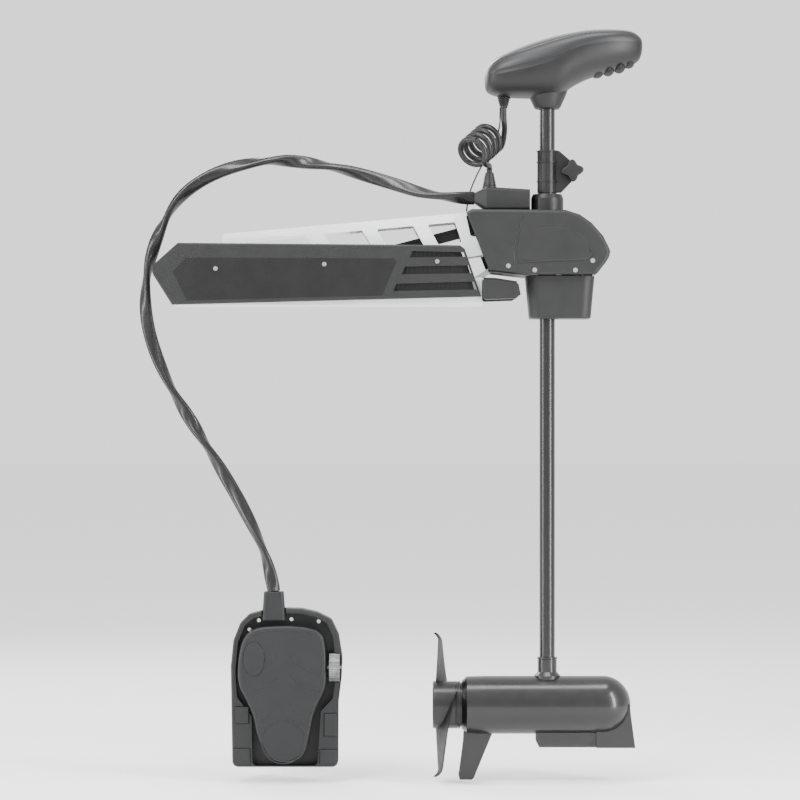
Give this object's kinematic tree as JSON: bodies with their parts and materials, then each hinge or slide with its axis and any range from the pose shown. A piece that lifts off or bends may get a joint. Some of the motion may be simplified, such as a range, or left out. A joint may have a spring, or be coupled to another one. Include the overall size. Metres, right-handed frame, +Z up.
{
  "type": "trolling motor",
  "caption": "Bow-mount electric trolling motor with folding deck mount, steered shaft, control head, propeller drive and wired foot pedal.",
  "frame": {"origin": "centre of the deck mount's bolt pattern, on its underside", "axes": "+Z up along the shaft, +X from the deck mount towards the shaft and the bow, Y across the boat"},
  "size_m": [0.9729, 0.2073, 1.4387],
  "materials": {
    "aluminium": "satin extruded",
    "silver_arm": "satin cast and painted",
    "charcoal_plastic": "fine moulded texture",
    "gloss_black_plastic": "fine mesh under gloss",
    "stainless": "brushed",
    "black_rubber": "matte",
    "black_steel": "satin black",
    "black_nylon": "moulded",
    "black_shaft": "satin composite",
    "head_plastic": "semi gloss moulded",
    "circuit_board": "solder mask",
    "motor_paint": "satin black paint",
    "magnet": "ferrite",
    "copper_winding": "varnished copper",
    "propeller_plastic": "glossy composite",
    "pedal_plastic": "moulded, fine grain",
    "cable_sheath": "satin braided sheath",
    "cord_rubber": "satin"
  },
  "bodies": {
    "mount_base": {"base_rail": "aluminium", "side_cover_front": "charcoal_plastic", "side_cover_back": "charcoal_plastic", "inset_panels": "gloss_black_plastic", "cover_screws": "stainless", "motor_rests": "charcoal_plastic", "rest_pads": "black_rubber", "floor_brackets": "black_steel", "pivot_pins": "stainless", "pedal_base": "pedal_plastic", "pedal_gland": "pedal_plastic", "pedal_screws": "stainless", "pedal_cable_lower": "cable_sheath"},
    "latch": {"latch_hook": "stainless"},
    "main_arm": {"main_arm": "silver_arm", "arm_bushings": "black_nylon", "pedal_cable_upper": "cable_sheath"},
    "inner_link": {"inner_link": "black_steel"},
    "gas_cylinder": {"gas_cylinder": "black_steel"},
    "gas_rod": {"gas_rod": "stainless"},
    "steering_housing": {"housing_cover_front": "charcoal_plastic", "housing_cover_back": "charcoal_plastic", "housing_screws": "stainless", "housing_bucket": "charcoal_plastic", "housing_frame": "aluminium", "sleeve_bushings": "black_nylon", "steering_motor": "black_steel", "cap_ring": "black_nylon", "junction_box": "charcoal_plastic", "coil_cord_coil": "cord_rubber", "coil_cord_upper": "cord_rubber", "coil_cord_lower": "cord_rubber", "thin_cable": "cord_rubber"},
    "steering_pinion": {"steering_pinion": "stainless"},
    "steering_column": {"steering_sleeve": "black_nylon", "steering_gear": "black_nylon", "depth_collar": "black_nylon"},
    "collar_knob": {"collar_knob": "black_nylon"},
    "shaft": {"shaft_tube": "black_shaft", "head_lower_shell": "head_plastic", "head_top_shell": "head_plastic", "head_circuit_board": "circuit_board", "head_bumpers": "black_rubber", "motor_can": "motor_paint", "motor_stem": "motor_paint", "motor_tail_cap": "motor_paint", "motor_nose": "motor_paint", "transducer_cover": "motor_paint", "motor_magnets": "magnet", "motor_bearings": "stainless"},
    "propeller": {"armature": "copper_winding", "propeller": "propeller_plastic", "prop_nut": "stainless"},
    "footpad": {"footpad": "pedal_plastic"},
    "momentary_button": {"momentary_button": "pedal_plastic"},
    "speed_wheel": {"speed_wheel": "black_nylon"},
    "side_rocker": {"side_rocker": "pedal_plastic"},
    "mode_button": {"mode_button": "pedal_plastic"},
    "function_button": {"function_button": "pedal_plastic"},
    "pad_button": {"pad_button": "pedal_plastic"}
  },
  "joints": [
    {"name": "arm_fold", "type": "hinge", "parent": "mount_base", "child": "main_arm", "pos_m": [-0.15, 0, 0.084], "axis": [0, -1, 0], "range_deg": [0, 156], "deforming": ["pedal_cable_upper", "pedal_cable_lower", "coil_cord_coil", "coil_cord_upper", "coil_cord_lower", "thin_cable"]},
    {"name": "housing_tilt", "type": "hinge", "parent": "main_arm", "child": "steering_housing", "pos_m": [0.298, 0, 0.114], "axis": [0, -1, 0], "range_deg": [-67, 0.5]},
    {"name": "inner_link_swing", "type": "hinge", "parent": "mount_base", "child": "inner_link", "pos_m": [-0.169, 0, 0.03], "axis": [0, -1, 0], "range_deg": [-0.5, 140]},
    {"name": "gas_spring_swing", "type": "hinge", "parent": "mount_base", "child": "gas_cylinder", "pos_m": [0.2, 0.028, 0.022], "axis": [0, -1, 0], "range_deg": [-1, 5]},
    {"name": "gas_rod_slide", "type": "slide", "parent": "gas_cylinder", "child": "gas_rod", "axis": [-0.9665, 0, 0.2565], "range_m": [-0.001, 0.177]},
    {"name": "latch_close", "type": "hinge", "parent": "mount_base", "child": "latch", "pos_m": [0.24, 0, 0.017], "axis": [0, -1, 0], "range_deg": [-20, 0]},
    {"name": "steer", "type": "hinge", "parent": "steering_housing", "child": "steering_column", "pos_m": [0.417, 0, 0.2], "axis": [0, 0, 1], "range_deg": [-180, 180], "deforming": ["coil_cord_coil", "coil_cord_upper", "coil_cord_lower", "thin_cable"]},
    {"name": "pinion_spin", "type": "hinge", "parent": "steering_housing", "child": "steering_pinion", "pos_m": [0.465, 0, 0.11], "axis": [0, 0, 1], "range_deg": [-545, 545]},
    {"name": "collar_knob_turn", "type": "hinge", "parent": "steering_column", "child": "collar_knob", "pos_m": [0.4645, 0, 0.2585], "axis": [0, 1, 0], "range_deg": [-180, 180]},
    {"name": "depth_slide", "type": "slide", "parent": "steering_column", "child": "shaft", "axis": [0, 0, 1], "range_m": [-0.06, 0.15], "deforming": ["coil_cord_coil", "coil_cord_upper", "coil_cord_lower", "thin_cable"]},
    {"name": "prop_spin", "type": "hinge", "parent": "shaft", "child": "propeller", "pos_m": [0.226, 0, -0.7656], "axis": [1, 0, 0], "continuous": true},
    {"name": "pedal_rock", "type": "hinge", "parent": "mount_base", "child": "footpad", "pos_m": [-0.083, 0, -0.735], "axis": [1, 0, 0], "range_deg": [-9, 9]},
    {"name": "momentary_button_press", "type": "slide", "parent": "footpad", "child": "momentary_button", "axis": [0, 1, 0], "range_m": [0, 0.002], "stiffness_N_per_m": 700},
    {"name": "speed_wheel_turn", "type": "hinge", "parent": "mount_base", "child": "speed_wheel", "pos_m": [0.009, -0.012, -0.693], "axis": [1, 0, 0], "range_deg": [-135, 135]},
    {"name": "side_rocker_press", "type": "slide", "parent": "mount_base", "child": "side_rocker", "axis": [0, 1, 0], "range_m": [0, 0.0015], "stiffness_N_per_m": 900},
    {"name": "mode_button_press", "type": "slide", "parent": "mount_base", "child": "mode_button", "axis": [0, 1, 0], "range_m": [0, 0.0015], "stiffness_N_per_m": 900},
    {"name": "function_button_press", "type": "slide", "parent": "mount_base", "child": "function_button", "axis": [0, 1, 0], "range_m": [0, 0.0015], "stiffness_N_per_m": 900},
    {"name": "pad_button_press", "type": "slide", "parent": "mount_base", "child": "pad_button", "axis": [0, 1, 0], "range_m": [0, 0.0015], "stiffness_N_per_m": 900}
  ],
  "couplings": [
    {"joint": "housing_tilt", "follows": "arm_fold", "ratio": -0.42308},
    {"joint": "inner_link_swing", "follows": "arm_fold", "ratio": 0.8907},
    {"joint": "gas_spring_swing", "follows": "arm_fold", "ratio": 0.018},
    {"joint": "gas_rod_slide", "follows": "arm_fold", "m_per_rad": 0.064384},
    {"joint": "pinion_spin", "follows": "steer", "ratio": -3}
  ]
}
